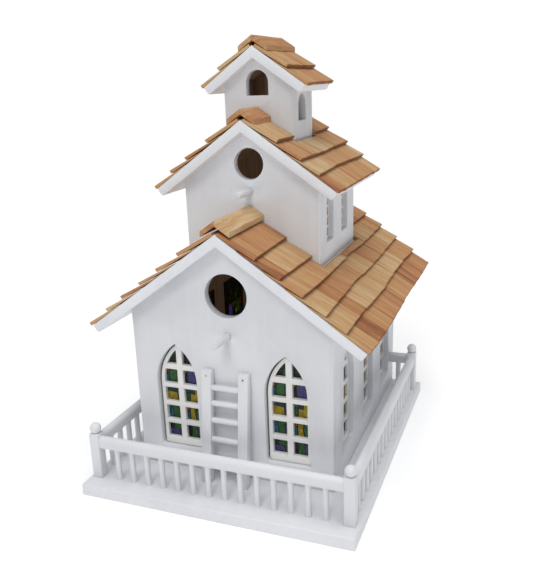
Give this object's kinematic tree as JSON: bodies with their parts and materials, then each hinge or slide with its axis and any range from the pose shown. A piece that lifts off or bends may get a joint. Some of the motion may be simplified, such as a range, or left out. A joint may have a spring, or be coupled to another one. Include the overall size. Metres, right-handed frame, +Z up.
{
  "type": "birdhouse",
  "caption": "White-painted wooden chapel birdhouse with stacked gabled tiers, shingled roofs, gothic windows, railing, ladder, round entrances and rear clean-outs.",
  "frame": {"origin": "middle of the base board's underside, below the middle of its rectangle", "axes": "+Z up; -Y towards the side with the round entrances; +X to the right of someone facing that side"},
  "size_m": [0.2962, 0.373, 0.4489],
  "materials": {
    "white_paint": "satin white paint",
    "cedar": "bare split shingles",
    "bare_wood": "bare",
    "stained_glass": "printed coloured sheet with black leading",
    "brass": "satin",
    "steel": "zinc plated"
  },
  "bodies": {
    "house": {"balusters_front": "white_paint", "balusters_left": "white_paint", "balusters_right": "white_paint", "base_board": "white_paint", "belfry_front_wall": "white_paint", "belfry_left_wall": "white_paint", "belfry_rear_wall": "white_paint", "belfry_ridge_caps": "cedar", "belfry_right_wall": "white_paint", "belfry_roof_left": "white_paint", "belfry_roof_right": "white_paint", "belfry_shingles_left": "cedar", "belfry_shingles_right": "cedar", "front_lattice_left": "white_paint", "front_lattice_right": "white_paint", "hall_front_wall": "white_paint", "hall_lattices_left": "white_paint", "hall_lattices_right": "white_paint", "hall_left_wall": "white_paint", "hall_perch": "white_paint", "hall_rear_wall": "white_paint", "hall_ridge_caps": "cedar", "hall_right_wall": "white_paint", "hall_roof_left": "white_paint", "hall_roof_right": "white_paint", "hall_shingles_left": "cedar", "hall_shingles_right": "cedar", "hinge_leaves_wall": "brass", "hinge_pins": "brass", "ladder_nails": "steel", "ladder_rungs": "white_paint", "ladder_stiles": "white_paint", "post_balls": "white_paint", "rail_front": "white_paint", "rail_left": "white_paint", "rail_right": "white_paint", "railing_posts": "white_paint", "rails_rear": "white_paint", "stained_glass_front": "stained_glass", "stained_glass_left": "stained_glass", "stained_glass_right": "stained_glass", "tower_cover_screw": "steel", "tower_floor": "bare_wood", "tower_front_wall": "white_paint", "tower_lattices": "white_paint", "tower_left_wall": "white_paint", "tower_perch": "white_paint", "tower_rear_wall": "white_paint", "tower_ridge_caps": "cedar", "tower_right_wall": "white_paint", "tower_roof_left": "white_paint", "tower_roof_right": "white_paint", "tower_shingles_left": "cedar", "tower_shingles_right": "cedar", "turn_button_screw": "steel"},
    "door": {"clean_out_door": "white_paint", "door_knob": "brass", "hinge_leaves_door": "brass"},
    "button": {"turn_button": "white_paint"},
    "cover": {"tower_cover": "white_paint"}
  },
  "joints": [
    {"name": "door_hinge", "type": "hinge", "parent": "house", "child": "door", "pos_m": [-0.04425, 0.1796, 0.077], "axis": [0, 0, 1], "range_deg": [0, 110]},
    {"name": "button_turn", "type": "hinge", "parent": "house", "child": "button", "pos_m": [0.056, 0.1796, 0.077], "axis": [0, 1, 0], "continuous": true},
    {"name": "cover_swing", "type": "hinge", "parent": "house", "child": "cover", "pos_m": [0, 0.0996, 0.294], "axis": [0, 1, 0], "range_deg": [-90, 90]}
  ]
}
